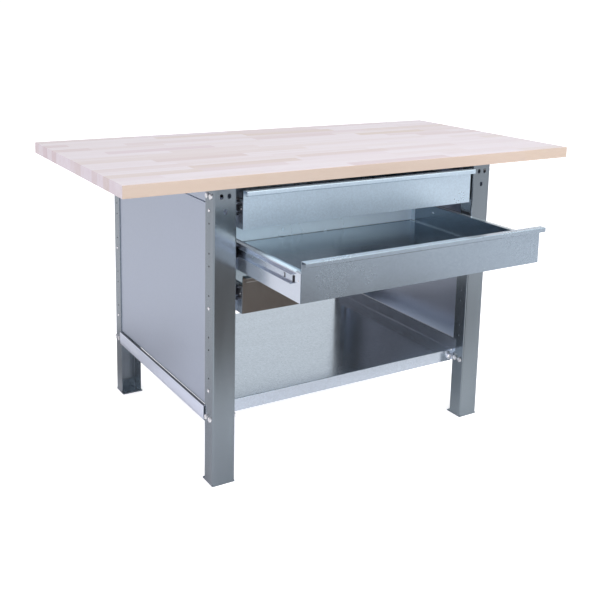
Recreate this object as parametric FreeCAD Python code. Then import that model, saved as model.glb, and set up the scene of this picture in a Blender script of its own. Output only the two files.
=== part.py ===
import FreeCAD, Part
import math
import os

from FreeCAD import Vector

# A free-standing workbench: a laminated wooden top on four folded steel legs, closed at the
# sides, with a lower shelf and three sheet-steel drawers on ball-bearing slides.
# Millimetres, +Z up, the drawers open towards -Y. While the parts are made, x = 0 and y = 0 lie
# under the middle of the worktop; export() then moves the origin to the middle of the whole
# outline as it stands, with the middle drawer open.

# ---- Driving sizes ----

# Worktop
TOP_LENGTH = 1500.0
TOP_DEPTH = 750.0
TOP_THICKNESS = 33.0
TOP_EDGE_ROUND = 1.5
BENCH_HEIGHT = 853.0

# Leg frame
FRAME_WIDTH = 940.0
FRAME_MIDDLE_X = -31.0
FRONT_OVERHANG = 20.0
REAR_OVERHANG = 0.0

# Legs: a C of folded sheet, its web towards the front (or the back) of the bench
LEG_WIDTH = 67.0
LEG_DEPTH = 48.0
LEG_SHEET = 2.5
LEG_FOLD = 2.0
LEG_HOLE_WIDTH = 5.0
LEG_HOLE_INSET = 26.0
LEG_HOLE_PAIR = 34.5
LEG_HOLE_ROWS = 5
WEB_SLOT_WIDTH = 10.5
WEB_SLOT_HEIGHT = 14.0
WEB_SLOT_SPACING = 22.0
WEB_SLOT_DROP = 40.0

# Foot plates
FOOT_THICKNESS = 4.0
FOOT_DEPTH = 60.0
FOOT_HOLE_RADIUS = 4.5
FOOT_HOLE_SPACING_X = 39.0
FOOT_HOLE_SPACING_Y = 32.0
FOOT_HOLE_EDGE_X = 11.5
FOOT_HOLE_EDGE_Y = 18.0

# Bolts of the frame; they and the small holes have few sides, to keep so many of them light
SMALL_SIDES = 8
BOLT_WIDTH = 8.0
BOLT_HOLE_WIDTH = 9.0
BOLT_HEAD_ACROSS = 13.0
BOLT_HEAD_HEIGHT = 5.3
BOLT_SPACING = 22.0
BOLT_TAIL = 8.5
UPPER_BOLT_DROP = 23.0
LOWER_BOLT_HEIGHT = 190.0

# Side rails and rear rail
RAIL_SHEET = 2.0
RAIL_FOLD = 1.0
RAIL_END_GAP = 8.0
UPPER_RAIL_HEIGHT = 44.0
UPPER_RAIL_TOP_FLANGE = 34.0
UPPER_RAIL_LIP = 14.0
LOWER_RAIL_BOTTOM = 173.0
LOWER_RAIL_HEIGHT = 44.0
LOWER_RAIL_PROUD = 4.5
LOWER_RAIL_STRIP = 10.5
LOWER_RAIL_LEAN = 2.0
LOWER_RAIL_SEAM = 1.0
TONGUE_MARGIN = 4.0
REAR_RAIL_HEIGHT = 44.0
REAR_RAIL_INSET = 3.0
REAR_RAIL_TAB = 42.0
REAR_RAIL_FLANGE = 26.0

# Side panels
PANEL_SHEET = 1.0
PANEL_RETURN = 12.0
PANEL_GAP = 2.0
PANEL_END_GAP = 9.0

# Shelf tray and what carries it
SHELF_SHEET = 1.2
SHELF_HEIGHT = 211.5
SHELF_LIP = 40.0
SHELF_APRON = 36.0
SHELF_SETBACK = 54.0
SHELF_EAR = 18.0
SHELF_EAR_CUT = 17.0
SHELF_SIDE_GAP = 0.2
BEARER_JOG = 6.0
BEARER_END_GAP = 1.0
SHELF_BEARER_HEIGHT = 37.0
SHELF_BEARER_FLANGE = 20.0
SLIDE_BEARER_HEIGHT = 32.0
CLEAT_ARM = 24.0
CLEAT_HEIGHT = 28.0

# Drawers, from the top one down
DRAWER_NAMES = ("top", "middle", "bottom")
DRAWER_PITCH = 114.3
TOP_SLIDE_DROP = 94.4
DRAWER_BELOW_SLIDE = 53.0
DRAWER_ABOVE_SLIDE = 51.0
DRAWER_PROUD = 5.0
DRAWER_OPEN = {"top": 0.0, "middle": 290.0, "bottom": 0.0}
FRONT_SHEET = 1.2
FRONT_FOLD = 1.3
FRONT_RETURN = 20.0
HANDLE_REACH = 21.0
HANDLE_DROP = 13.0
HANDLE_HEM = 6.0
GRIP_HEIGHT = 26.0
BOX_SHEET = 1.0
BOX_LENGTH = 563.0
BOX_WALL_ABOVE_SLIDE = 20.0
BOX_RIM = 19.0
BOX_RIM_CUTBACK = 25.0
BOX_UPSTAND = 14.0
BACK_ABOVE_SLIDE = 8.0
BACK_RETURN = 18.0
BACK_SEAT_GAP = 0.1
WALL_SLOT_LENGTH = 14.0
WALL_SLOT_HEIGHT = 6.0
WALL_SLOT_FROM_FRONT = 456.0
WALL_SLOT_BELOW_SLIDE = 6.5

# Ball-bearing slides: outer channel, ball cage and inner channel
SLIDE_THICKNESS = 14.6
SLIDE_LENGTH = 550.0
SLIDE_SHEET = 1.2
SLIDE_SETBACK = 10.0
OUTER_HEIGHT = 35.0
OUTER_DEPTH = 12.5
OUTER_LIP = 2.0
INNER_HEIGHT = 24.0
INNER_DEPTH = 9.1
INNER_FRONT_GAP = 9.0
CAGE_SHEET = 0.8
CAGE_LENGTH = 150.0
CAGE_DEPTH = 7.4
RUNNING_CLEARANCE = 0.3

# Thin sheet whose folds are tighter than they are worth showing
SHARP = 0.0

# ---- Places that follow from them ----

TOP_UNDERSIDE = BENCH_HEIGHT - TOP_THICKNESS
FRAME_FRONT = -TOP_DEPTH / 2 + FRONT_OVERHANG
FRAME_REAR = TOP_DEPTH / 2 - REAR_OVERHANG
FRAME_MIDDLE_Y = (FRAME_FRONT + FRAME_REAR) / 2
FRAME_LEFT = FRAME_MIDDLE_X - FRAME_WIDTH / 2
LEG_INNER_FACE = FRAME_LEFT + LEG_WIDTH
LEG_REAR_EDGE = FRAME_FRONT + LEG_DEPTH
LEG_MIDDLE_Y = FRAME_FRONT + LEG_DEPTH / 2
SPAN = FRAME_WIDTH - 2 * LEG_WIDTH

UPPER_BOLT_HEIGHT = TOP_UNDERSIDE - UPPER_BOLT_DROP
TOP_SLIDE_HEIGHT = BENCH_HEIGHT - TOP_SLIDE_DROP
HOLE_ROWS = [TOP_SLIDE_HEIGHT - row * DRAWER_PITCH for row in range(LEG_HOLE_ROWS)]
SLIDE_HEIGHTS = dict(zip(DRAWER_NAMES, HOLE_ROWS))
PANEL_RIVET_HEIGHTS = [HOLE_ROWS[0], HOLE_ROWS[2] - LEG_HOLE_PAIR, HOLE_ROWS[4] - LEG_HOLE_PAIR]

DRAWER_LEFT = LEG_INNER_FACE + SLIDE_THICKNESS
DRAWER_RIGHT = 2 * FRAME_MIDDLE_X - DRAWER_LEFT
DRAWER_FRONT = FRAME_FRONT - DRAWER_PROUD
SHELF_LEFT = LEG_INNER_FACE + SHELF_SIDE_GAP
SHELF_RIGHT = 2 * FRAME_MIDDLE_X - SHELF_LEFT
SHELF_FRONT = FRAME_FRONT + SHELF_SETBACK

OUTER_CHANNEL_FRONT = FRAME_FRONT + SLIDE_SETBACK
INNER_CHANNEL_FRONT = DRAWER_FRONT + BOX_RIM_CUTBACK + INNER_FRONT_GAP
INNER_CHANNEL_LENGTH = SLIDE_LENGTH - INNER_FRONT_GAP

OUTLINE_FRONT = DRAWER_FRONT - max(DRAWER_OPEN.values()) - HANDLE_REACH
OUTLINE_MIDDLE_Y = (OUTLINE_FRONT + TOP_DEPTH / 2) / 2


# ---- Shapes ----

def lift(axis, along, u, v):
    """A point (u, v) of a section that lies across the axis, at the given place along it."""
    places = {"x": (along, u, v), "y": (u, along, v), "z": (u, v, along)}
    return Vector(*places[axis])


def block(x, y, z):
    """A box between the two limits given on each axis."""
    size = [limits[1] - limits[0] for limits in (x, y, z)]
    return Part.makeBox(size[0], size[1], size[2], Vector(x[0], y[0], z[0]))


def rod(radius, start, end):
    """A round bar from one point to another."""
    path = end.sub(start)
    return Part.makeCylinder(radius, path.Length, start, path)


def polygon_face(corners):
    return Part.Face(Part.makePolygon(corners + corners[:1]))


def prism(sides, width, start, end):
    """A level bar of regular section from one point to another, given its width across flats."""
    path = end.sub(start)
    up = Vector(0, 0, 1)
    side = path.cross(up).normalize()
    radius = width / 2 / math.cos(math.pi / sides)
    turns = [2 * math.pi * (i + 0.5) / sides for i in range(sides)]
    corners = [start + side * (radius * math.cos(turn)) + up * (radius * math.sin(turn)) for turn in turns]
    return polygon_face(corners).extrude(path)


def plate(outline, axis, low, high):
    """A flat plate: its outline lies across the axis."""
    return polygon_face([lift(axis, low, u, v) for u, v in outline]).extrude(lift(axis, high - low, 0.0, 0.0))


def slot(centre, length, width, axis, run, depth):
    """A cutter for a round-ended slot: bored along axis, long along run."""
    step = {"x": Vector(1, 0, 0), "y": Vector(0, 1, 0), "z": Vector(0, 0, 1)}
    bore = step[axis] * depth
    reach = step[run] * ((length - width) / 2)
    tip = step[run] * (width / 2)
    side = step[axis].cross(step[run]) * (width / 2)
    left = centre - bore / 2 - reach
    right = centre - bore / 2 + reach
    lines = [Part.LineSegment(left - side, right - side), Part.LineSegment(right + side, left + side)]
    ends = [Part.Arc(right - side, right + tip, right + side), Part.Arc(left + side, left - tip, left - side)]
    outline = Part.Wire([lines[0].toShape(), ends[0].toShape(), lines[1].toShape(), ends[1].toShape()])
    return Part.Face(outline).extrude(bore)


def fold_side(points, half_sheet, middle_radius):
    """One face of a folded sheet: lines, and an arc (start, middle, end) at each round fold."""
    way = [(b - a).normalize() for a, b in zip(points, points[1:])]
    left = [Vector(-step.y, step.x, 0) for step in way]
    pieces = []
    last = points[0] + left[0] * half_sheet
    for i in range(1, len(points) - 1):
        turn = math.atan2(way[i - 1].cross(way[i]).z, way[i - 1].dot(way[i]))
        if not middle_radius:
            corner = points[i] + (left[i - 1] + left[i]) * (half_sheet / (1 + math.cos(turn)))
            pieces.append((last, corner))
            last = corner
            continue
        hand = math.copysign(1.0, turn)
        tangent = middle_radius * math.tan(abs(turn) / 2)
        start = points[i] - way[i - 1] * tangent
        end = points[i] + way[i] * tangent
        centre = start + left[i - 1] * (middle_radius * hand)
        crown = centre + (points[i] - centre).normalize() * (middle_radius - half_sheet * hand)
        pieces.append((last, start + left[i - 1] * half_sheet))
        last = end + left[i] * half_sheet
        pieces.append((start + left[i - 1] * half_sheet, crown, last))
    pieces.append((last, points[-1] + left[-1] * half_sheet))
    return pieces


def folded(middle_line, sheet, inside_radius, axis, low, high):
    """A sheet folded along the axis, whose thickness lies evenly about the middle line."""
    points = [Vector(u, v, 0) for u, v in middle_line]
    radius = inside_radius + sheet / 2 if inside_radius else 0.0
    faces = [fold_side(points, half, radius) for half in (sheet / 2, -sheet / 2)]
    ends = [(faces[0][0][0], faces[1][0][0]), (faces[0][-1][-1], faces[1][-1][-1])]
    edges = []
    for piece in faces[0] + faces[1] + ends:
        corners = [lift(axis, low, point.x, point.y) for point in piece]
        curve = Part.LineSegment(*corners) if len(corners) == 2 else Part.Arc(*corners)
        edges.append(curve.toShape())
    section = Part.Face(Part.Wire(Part.sortEdges(edges)[0]))
    return section.extrude(lift(axis, high - low, 0.0, 0.0))


def join(first, others):
    """One solid from pieces of the same sheet."""
    return first.fuse(others).removeSplitter()


def to_right(shape):
    return shape.mirror(Vector(FRAME_MIDDLE_X, 0, 0), Vector(1, 0, 0))


def to_rear(shape):
    return shape.mirror(Vector(0, FRAME_MIDDLE_Y, 0), Vector(0, 1, 0))


def both_sides(shapes):
    return shapes + [to_right(shape) for shape in shapes]


def both_ends(shapes):
    return shapes + [to_rear(shape) for shape in shapes]


def export(name, shapes):
    """Write one node, with the origin moved to the middle of the whole outline."""
    solids = [solid.copy() for shape in shapes for solid in shape.Solids]
    for solid in solids:
        solid.translate(Vector(0, -OUTLINE_MIDDLE_Y, 0))
    node = solids[0] if len(solids) == 1 else Part.makeCompound(solids)
    node.exportStep(os.path.join("parts", name + ".step"))


def export_pair(name, end, shape):
    """Write a left piece and its mirror image on the right."""
    export(name + "_left" + end, [shape])
    export(name + "_right" + end, [to_right(shape)])


# ---- Bolts ----

def flange_bolts(x, way, height):
    """The pair of bolts across a front left leg's flange: the seat and way of each."""
    places = [Vector(x, LEG_MIDDLE_Y + side * BOLT_SPACING / 2, height) for side in (-1, 1)]
    return [(place, Vector(way, 0, 0)) for place in places]


def upper_rail_bolts():
    return flange_bolts(FRAME_LEFT, 1, UPPER_BOLT_HEIGHT)


def lower_rail_bolts():
    return flange_bolts(FRAME_LEFT, 1, LOWER_BOLT_HEIGHT)


def bearer_bolts():
    return flange_bolts(LEG_INNER_FACE, -1, LOWER_BOLT_HEIGHT)


def rear_rail_bolts():
    """Those of the rear rail's left tab, as they would lie on the front leg."""
    return flange_bolts(LEG_INNER_FACE + RAIL_SHEET, -1, UPPER_BOLT_HEIGHT)


def shelf_bolts():
    """The bolt through the shelf's apron into its front left cleat."""
    return [(Vector(SHELF_LEFT + CLEAT_ARM / 2, SHELF_FRONT, LOWER_BOLT_HEIGHT), Vector(0, 1, 0))]


def bolt_shank(place, width):
    """The run of a bolt behind its seat, or with a wider section the cutter for its hole."""
    seat, way = place
    return prism(SMALL_SIDES, width, seat, seat + way * (LEG_SHEET + RAIL_SHEET + BOLT_TAIL))


def bolt_holes(places):
    return [bolt_shank(place, BOLT_HOLE_WIDTH) for place in places]


def bolt(place):
    """A hexagon-head bolt whose head lies on its seat."""
    seat, way = place
    head = prism(6, BOLT_HEAD_ACROSS, seat - way * BOLT_HEAD_HEIGHT, seat)
    return head.fuse(bolt_shank(place, BOLT_WIDTH))


def make_bolts():
    corner_bolts = upper_rail_bolts() + lower_rail_bolts() + bearer_bolts() + shelf_bolts()
    bolts = both_ends([bolt(place) for place in corner_bolts])
    bolts += [to_rear(bolt(place)) for place in rear_rail_bolts()]
    export("frame_bolts", both_sides(bolts))


# ---- Worktop ----

def make_worktop():
    half_length = TOP_LENGTH / 2
    half_depth = TOP_DEPTH / 2
    top = block((-half_length, half_length), (-half_depth, half_depth), (TOP_UNDERSIDE, BENCH_HEIGHT))
    upper_edges = [edge for edge in top.Edges if edge.BoundBox.ZMin > TOP_UNDERSIDE]
    export("worktop", [top.makeFillet(TOP_EDGE_ROUND, upper_edges)])


# ---- Leg frame ----

def leg_perforations():
    """The holes of a leg's two flanges that neither a panel rivet nor a slide screw fills."""
    holes = []
    taken = {FRAME_LEFT: PANEL_RIVET_HEIGHTS, LEG_INNER_FACE - LEG_SHEET: list(SLIDE_HEIGHTS.values())}
    for x, filled in taken.items():
        for row in HOLE_ROWS:
            for height in (row, row - LEG_HOLE_PAIR):
                if height in filled:
                    continue
                start = Vector(x, FRAME_FRONT + LEG_HOLE_INSET, height)
                holes.append(prism(SMALL_SIDES, LEG_HOLE_WIDTH, start, start + Vector(LEG_SHEET, 0, 0)))
    return holes


def leg_web_slots():
    """Two slots side by side near the top of the web and one below them."""
    middle = FRAME_LEFT + LEG_WIDTH / 2
    slots = []
    for shift, drop in ((-1, 0.0), (1, 0.0), (0, WEB_SLOT_DROP)):
        centre = Vector(middle + shift * WEB_SLOT_SPACING / 2, FRAME_FRONT, UPPER_BOLT_HEIGHT - drop)
        slots.append(slot(centre, WEB_SLOT_HEIGHT, WEB_SLOT_WIDTH, "y", "z", 3 * LEG_SHEET))
    return slots


def front_leg():
    """The front left leg, from its foot plate to the worktop."""
    half = LEG_SHEET / 2
    outer = FRAME_LEFT + half
    inner = LEG_INNER_FACE - half
    web = FRAME_FRONT + half
    middle_line = [(outer, LEG_REAR_EDGE), (outer, web), (inner, web), (inner, LEG_REAR_EDGE)]
    body = folded(middle_line, LEG_SHEET, LEG_FOLD, "z", FOOT_THICKNESS, TOP_UNDERSIDE)
    places = upper_rail_bolts() + lower_rail_bolts() + bearer_bolts()
    return body.cut(leg_perforations() + leg_web_slots() + bolt_holes(places))


def rear_leg():
    """The rear left leg: the same, with two more holes for the rear rail."""
    return to_rear(front_leg().cut(bolt_holes(rear_rail_bolts())))


def foot():
    """The plate welded under that leg, with four anchor holes."""
    body = block((FRAME_LEFT, LEG_INNER_FACE), (FRAME_FRONT, FRAME_FRONT + FOOT_DEPTH), (0.0, FOOT_THICKNESS))
    holes = []
    for along in (0.0, FOOT_HOLE_SPACING_X):
        for across in (0.0, FOOT_HOLE_SPACING_Y):
            x = FRAME_LEFT + FOOT_HOLE_EDGE_X + along
            y = FRAME_FRONT + FOOT_HOLE_EDGE_Y + across
            holes.append(rod(FOOT_HOLE_RADIUS, Vector(x, y, 0), Vector(x, y, FOOT_THICKNESS)))
    return body.cut(holes)


def side_panel():
    """The left side sheet, folded in at both ends and held behind the legs' outer flanges."""
    half = PANEL_SHEET / 2
    x = FRAME_LEFT + LEG_SHEET + half
    front = FRAME_FRONT + PANEL_END_GAP + half
    rear = FRAME_REAR - PANEL_END_GAP - half
    middle_line = [(x + PANEL_RETURN, front), (x, front), (x, rear), (x + PANEL_RETURN, rear)]
    low = LOWER_RAIL_BOTTOM + LOWER_RAIL_HEIGHT + PANEL_GAP
    high = TOP_UNDERSIDE - UPPER_RAIL_HEIGHT - PANEL_GAP
    return folded(middle_line, PANEL_SHEET, SHARP, "z", low, high)


def upper_rail():
    """The left rail under the worktop: a C whose web runs behind the legs' outer flanges."""
    half = RAIL_SHEET / 2
    x = FRAME_LEFT + LEG_SHEET
    low = TOP_UNDERSIDE - UPPER_RAIL_HEIGHT + half
    high = TOP_UNDERSIDE - half
    web = x + half
    middle_line = [(x + UPPER_RAIL_LIP, low), (web, low), (web, high), (x + UPPER_RAIL_TOP_FLANGE, high)]
    front = FRAME_FRONT + RAIL_END_GAP
    body = folded(middle_line, RAIL_SHEET, RAIL_FOLD, "y", front, FRAME_REAR - RAIL_END_GAP)
    return body.cut(both_ends(bolt_holes(upper_rail_bolts())))


def lower_rail():
    """The left lower rail: a folded box between the legs, whose inner wall runs on behind them.

    The foot of its outer face leans in towards the bench.
    """
    half = RAIL_SHEET / 2
    inner = FRAME_LEFT + LEG_SHEET + half
    outer = FRAME_LEFT - LOWER_RAIL_PROUD + half
    low = LOWER_RAIL_BOTTOM + half
    high = LOWER_RAIL_BOTTOM + LOWER_RAIL_HEIGHT - half
    wall_end = low + half + LOWER_RAIL_SEAM
    seam = inner - half - LOWER_RAIL_SEAM
    middle_line = [(inner, wall_end), (inner, high), (outer, high), (outer, low + LOWER_RAIL_STRIP),
                   (outer + LOWER_RAIL_LEAN, low), (seam, low)]
    body = folded(middle_line, RAIL_SHEET, RAIL_FOLD, "y", LEG_REAR_EDGE, FRAME_REAR - LEG_DEPTH)
    tongue_height = (LOWER_RAIL_BOTTOM + TONGUE_MARGIN, high + half - TONGUE_MARGIN)
    tongue_length = (FRAME_FRONT + RAIL_END_GAP, FRAME_REAR - RAIL_END_GAP)
    tongue = block((inner - half, inner + half), tongue_length, tongue_height)
    return join(body, [tongue]).cut(both_ends(bolt_holes(lower_rail_bolts())))


def jogged_strip(low, high):
    """A flat bar flush with the legs' inner faces, whose ends step back behind their flanges."""
    half = RAIL_SHEET / 2
    web = LEG_INNER_FACE - half
    tongue = LEG_INNER_FACE - LEG_SHEET - half
    step_start = LEG_REAR_EDGE + BEARER_END_GAP
    step_end = step_start + BEARER_JOG
    front_half = [(tongue, FRAME_FRONT + RAIL_END_GAP), (tongue, step_start), (web, step_end)]
    rear_half = [(x, 2 * FRAME_MIDDLE_Y - y) for x, y in reversed(front_half)]
    return folded(front_half + rear_half, RAIL_SHEET, SHARP, "z", low, high)


def shelf_bearer():
    """The left shelf bearer: a channel that opens towards the shelf it carries."""
    half = RAIL_SHEET / 2
    top = SHELF_HEIGHT - SHELF_SHEET
    low = top - SHELF_BEARER_HEIGHT
    web = LEG_INNER_FACE - half
    reach = LEG_INNER_FACE + SHELF_BEARER_FLANGE
    middle_line = [(reach, low + half), (web, low + half), (web, top - half), (reach, top - half)]
    front = LEG_REAR_EDGE + BEARER_END_GAP + 2 * BEARER_JOG
    channel = folded(middle_line, RAIL_SHEET, SHARP, "y", front, 2 * FRAME_MIDDLE_Y - front)
    strip = jogged_strip(low + TONGUE_MARGIN, top - TONGUE_MARGIN)
    return join(channel, [strip]).cut(both_ends(bolt_holes(bearer_bolts())))


def slide_bearers():
    """The three left bars that carry the drawers' slides between the legs."""
    half_height = SLIDE_BEARER_HEIGHT / 2
    return [jogged_strip(height - half_height, height + half_height) for height in SLIDE_HEIGHTS.values()]


def rear_rail():
    """The rear rail, drawn at the front: a web with a top flange, and a tab folded back at each end."""
    half = RAIL_SHEET / 2
    left = LEG_INNER_FACE + half
    right = left + SPAN - RAIL_SHEET
    web = FRAME_FRONT + REAR_RAIL_INSET + half
    tab_end = web + REAR_RAIL_TAB
    high = TOP_UNDERSIDE - half
    low = TOP_UNDERSIDE - REAR_RAIL_HEIGHT
    tab_line = [(left, tab_end), (left, web), (right, web), (right, tab_end)]
    body = folded(tab_line, RAIL_SHEET, SHARP, "z", low, TOP_UNDERSIDE - RAIL_SHEET)
    flange_line = [(web, low), (web, high), (web + REAR_RAIL_FLANGE, high)]
    flange = folded(flange_line, RAIL_SHEET, SHARP, "x", left + RAIL_SHEET, right - RAIL_SHEET)
    return join(body, [flange]).cut(both_sides(bolt_holes(rear_rail_bolts())))


def make_frame():
    export_pair("leg_front", "", front_leg())
    export_pair("leg_rear", "", rear_leg())
    export_pair("foot_front", "", foot())
    export_pair("foot_rear", "", to_rear(foot()))
    export_pair("side_panel", "", side_panel())
    export_pair("upper_rail", "", upper_rail())
    export_pair("lower_rail", "", lower_rail())
    export_pair("shelf_bearer", "", shelf_bearer())
    export_pair("slide_bearers", "", Part.makeCompound(slide_bearers()))
    export("rear_rail", [to_rear(rear_rail())])


# ---- Shelf ----

def shelf_tray():
    """The shelf: sides folded up against the legs, front and rear edges folded down."""
    half = SHELF_SHEET / 2
    fold = SHELF_SHEET + RAIL_FOLD
    deck = SHELF_HEIGHT - half
    rear = 2 * FRAME_MIDDLE_Y - SHELF_FRONT
    left = SHELF_LEFT + half
    right = SHELF_RIGHT - half
    rim = SHELF_HEIGHT + SHELF_LIP
    across = [(left, rim), (left, deck), (right, deck), (right, rim)]
    pan = folded(across, SHELF_SHEET, RAIL_FOLD, "y", SHELF_FRONT + fold, rear - fold)
    apron_line = [(SHELF_FRONT + half, SHELF_HEIGHT - SHELF_APRON), (SHELF_FRONT + half, deck),
                  (SHELF_FRONT + 2 * fold, deck)]
    apron = folded(apron_line, SHELF_SHEET, RAIL_FOLD, "x", SHELF_LEFT + fold, SHELF_RIGHT - fold)
    nose = SHELF_FRONT - SHELF_EAR
    join_y = SHELF_FRONT + fold
    above_fold = SHELF_HEIGHT + RAIL_FOLD
    ear_line = [(join_y, rim), (nose, rim), (nose, SHELF_HEIGHT),
                (SHELF_FRONT - half, SHELF_HEIGHT - SHELF_EAR_CUT), (SHELF_FRONT - half, above_fold),
                (join_y, above_fold)]
    ear = plate(ear_line, "x", SHELF_LEFT, SHELF_LEFT + SHELF_SHEET)
    body = join(pan, both_ends([apron]) + both_sides(both_ends([ear])))
    return body.cut(both_sides(both_ends(bolt_holes(shelf_bolts()))))


def shelf_cleat():
    """The front left cleat: an angle between the shelf's apron and its bearer."""
    half = RAIL_SHEET / 2
    x = LEG_INNER_FACE + half
    y = SHELF_FRONT + SHELF_SHEET + half
    middle_line = [(x, y + CLEAT_ARM), (x, y), (x + CLEAT_ARM, y)]
    low = LOWER_BOLT_HEIGHT - CLEAT_HEIGHT / 2
    body = folded(middle_line, RAIL_SHEET, SHARP, "z", low, low + CLEAT_HEIGHT)
    return body.cut(bolt_holes(shelf_bolts()))


def make_shelf():
    export("shelf", [shelf_tray()])
    export("shelf_cleats", both_sides(both_ends([shelf_cleat()])))


# ---- Drawers ----

def drawer_front(height, face):
    """The front sheet: sides folded back, and the top folded over into a full-width grip."""
    half = FRONT_SHEET / 2
    left = DRAWER_LEFT + BOX_SHEET + half
    right = DRAWER_RIGHT - BOX_SHEET - half
    high = height + DRAWER_ABOVE_SLIDE
    split = high - GRIP_HEIGHT
    y = face + half
    returns = [(left, face + FRONT_RETURN), (left, y), (right, y), (right, face + FRONT_RETURN)]
    low = height - DRAWER_BELOW_SLIDE
    panel = folded(returns, FRONT_SHEET, SHARP, "z", low + BOX_SHEET, split)
    skirt = block((left - half, right + half), (face, face + FRONT_SHEET), (low, low + BOX_SHEET))
    top = high - half
    lip = face - HANDLE_REACH + half
    hem = high - HANDLE_DROP + half
    grip_line = [(y, split), (y, top), (lip, top), (lip, hem), (lip + HANDLE_HEM, hem)]
    grip = folded(grip_line, FRONT_SHEET, FRONT_FOLD, "x", left - half, right + half)
    return join(panel, [grip, skirt])


def drawer_tray(height, face):
    """The floor and both sides from one sheet, with a rim folded in along the top of each side."""
    half = BOX_SHEET / 2
    left = DRAWER_LEFT + half
    right = DRAWER_RIGHT - half
    floor = height - DRAWER_BELOW_SLIDE + half
    rim = height + BOX_WALL_ABOVE_SLIDE - half
    front = face + FRONT_SHEET
    rim_edges = (DRAWER_LEFT + BOX_RIM, DRAWER_RIGHT - BOX_RIM)
    across = [(rim_edges[0], rim), (left, rim), (left, floor), (right, floor), (right, rim),
              (rim_edges[1], rim)]
    body = folded(across, BOX_SHEET, SHARP, "y", front, face + BOX_LENGTH)
    upstand_ends = (DRAWER_LEFT + BOX_SHEET + FRONT_SHEET, DRAWER_RIGHT - BOX_SHEET - FRONT_SHEET)
    upstand = block(upstand_ends, (front, front + BOX_SHEET), (floor, floor + BOX_UPSTAND))
    body = join(body, [upstand])
    between_walls = (DRAWER_LEFT + BOX_SHEET, DRAWER_RIGHT - BOX_SHEET)
    cut_back = block(between_walls, (front, face + BOX_RIM_CUTBACK), (rim - half, rim + half))
    middle = (DRAWER_LEFT + DRAWER_RIGHT) / 2
    centre = Vector(middle, face + WALL_SLOT_FROM_FRONT, height - WALL_SLOT_BELOW_SLIDE)
    wall_slot = slot(centre, WALL_SLOT_LENGTH, WALL_SLOT_HEIGHT, "x", "y", DRAWER_RIGHT - DRAWER_LEFT)
    return body.cut([cut_back, wall_slot])


def drawer_back(height, face):
    """The rear wall, folded forward at both ends inside the tray's sides."""
    half = BOX_SHEET / 2
    left = DRAWER_LEFT + BOX_SHEET + BACK_SEAT_GAP + half
    right = DRAWER_RIGHT - BOX_SHEET - BACK_SEAT_GAP - half
    y = face + BOX_LENGTH - half
    middle_line = [(left, y - BACK_RETURN), (left, y), (right, y), (right, y - BACK_RETURN)]
    low = height - DRAWER_BELOW_SLIDE + BOX_SHEET + BACK_SEAT_GAP
    return folded(middle_line, BOX_SHEET, SHARP, "z", low, height + BACK_ABOVE_SLIDE)


# ---- Slides ----

def outer_channel(height):
    """The left slide's outer channel, held on the legs and the slide bearer."""
    half = SLIDE_SHEET / 2
    back = LEG_INNER_FACE + half
    mouth = LEG_INNER_FACE + OUTER_DEPTH - half
    arm = OUTER_HEIGHT / 2 - half
    lip = arm - OUTER_LIP
    upper = [(mouth, height + lip), (mouth, height + arm), (back, height + arm)]
    lower = [(x, 2 * height - z) for x, z in reversed(upper)]
    front = OUTER_CHANNEL_FRONT
    return folded(upper + lower, SLIDE_SHEET, SHARP, "y", front, front + SLIDE_LENGTH)


def inner_channel(height, opened):
    """The left slide's inner channel: its web lies on the drawer, its arms reach into the outer one."""
    half = SLIDE_SHEET / 2
    web = DRAWER_LEFT - half
    mouth = DRAWER_LEFT - INNER_DEPTH
    arm = INNER_HEIGHT / 2 - half
    middle_line = [(mouth, height + arm), (web, height + arm), (web, height - arm), (mouth, height - arm)]
    front = INNER_CHANNEL_FRONT - opened
    return folded(middle_line, SLIDE_SHEET, SHARP, "y", front, front + INNER_CHANNEL_LENGTH)


def ball_cage(height, opened):
    """The left slide's cage: two rows of balls, each taken as one bar, joined by a thin web.

    It keeps to the middle of the stretch where both channels overlap, so it moves half as far
    as the drawer does.
    """
    between = (LEG_INNER_FACE + SLIDE_SHEET + DRAWER_LEFT - INNER_DEPTH) / 2
    web = (between - CAGE_SHEET / 2, between + CAGE_SHEET / 2)
    mouth = web[0] + CAGE_DEPTH
    row_low = INNER_HEIGHT / 2 + RUNNING_CLEARANCE
    row_high = OUTER_HEIGHT / 2 - SLIDE_SHEET - RUNNING_CLEARANCE
    upper = [(web[1], height + row_low), (mouth, height + row_low), (mouth, height + row_high),
             (web[0], height + row_high)]
    lower = [(x, 2 * height - z) for x, z in reversed(upper)]
    middle = (OUTER_CHANNEL_FRONT + INNER_CHANNEL_FRONT - opened + INNER_CHANNEL_LENGTH) / 2
    return plate(upper + lower, "y", middle - CAGE_LENGTH / 2, middle + CAGE_LENGTH / 2)


def make_drawer(name):
    height = SLIDE_HEIGHTS[name]
    opened = DRAWER_OPEN[name]
    face = DRAWER_FRONT - opened
    export("drawer_%s_front" % name, [drawer_front(height, face)])
    export("drawer_%s_tray" % name, [drawer_tray(height, face)])
    export("drawer_%s_back" % name, [drawer_back(height, face)])
    export_pair("slide_%s" % name, "_outer", outer_channel(height))
    export_pair("slide_%s" % name, "_inner", inner_channel(height, opened))
    export_pair("slide_%s" % name, "_cage", ball_cage(height, opened))


def main():
    os.makedirs("parts", exist_ok=True)
    make_worktop()
    make_frame()
    make_shelf()
    for name in DRAWER_NAMES:
        make_drawer(name)
    make_bolts()


main()
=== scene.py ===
import math

import bpy
from bpy.props import FloatProperty, FloatVectorProperty, IntProperty, PointerProperty
from bpy.types import Operator, Panel, PropertyGroup
from mathutils import Matrix, Vector


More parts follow.
